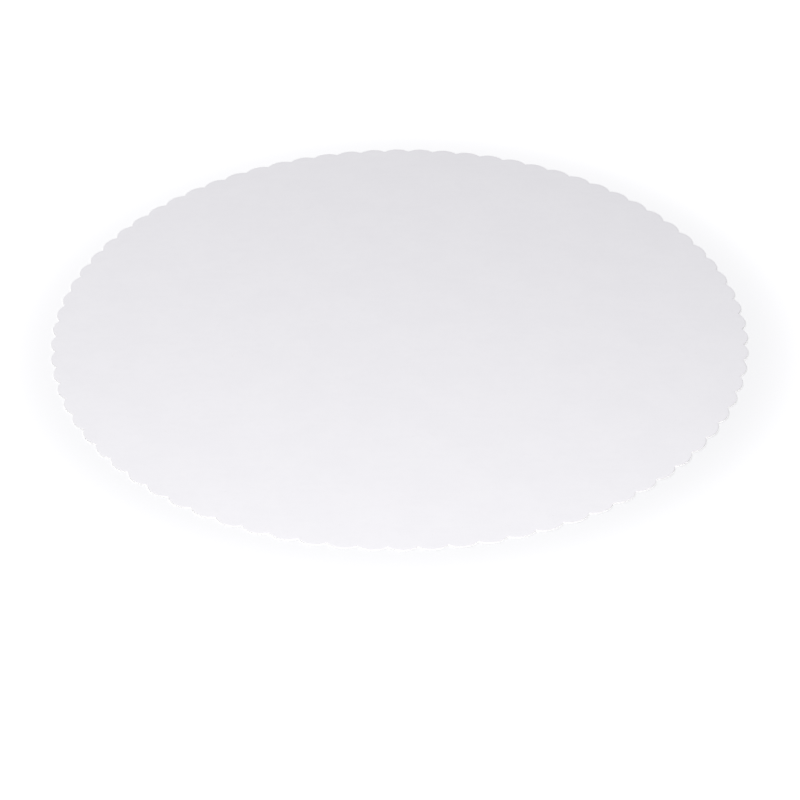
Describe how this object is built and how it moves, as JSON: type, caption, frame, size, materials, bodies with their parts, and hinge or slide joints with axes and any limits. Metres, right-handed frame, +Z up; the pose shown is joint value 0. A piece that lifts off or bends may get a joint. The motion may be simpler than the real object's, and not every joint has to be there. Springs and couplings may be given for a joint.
{
  "type": "cake board",
  "caption": "Thin round white coated paperboard cake board with a scalloped die-cut rim.",
  "frame": {"origin": "middle of the underside, on the surface the board lies on", "axes": "+Z up out of the cake face, square to the board; +X through the middle of one lobe of the rim"},
  "size_m": [0.3, 0.3, 0.0005],
  "materials": {
    "coated_paperboard": "clay-coated white, smooth and faintly satin, with a plainer uncoated cut edge"
  },
  "bodies": {
    "root": {"cake_board": "coated_paperboard"}
  },
  "joints": []
}
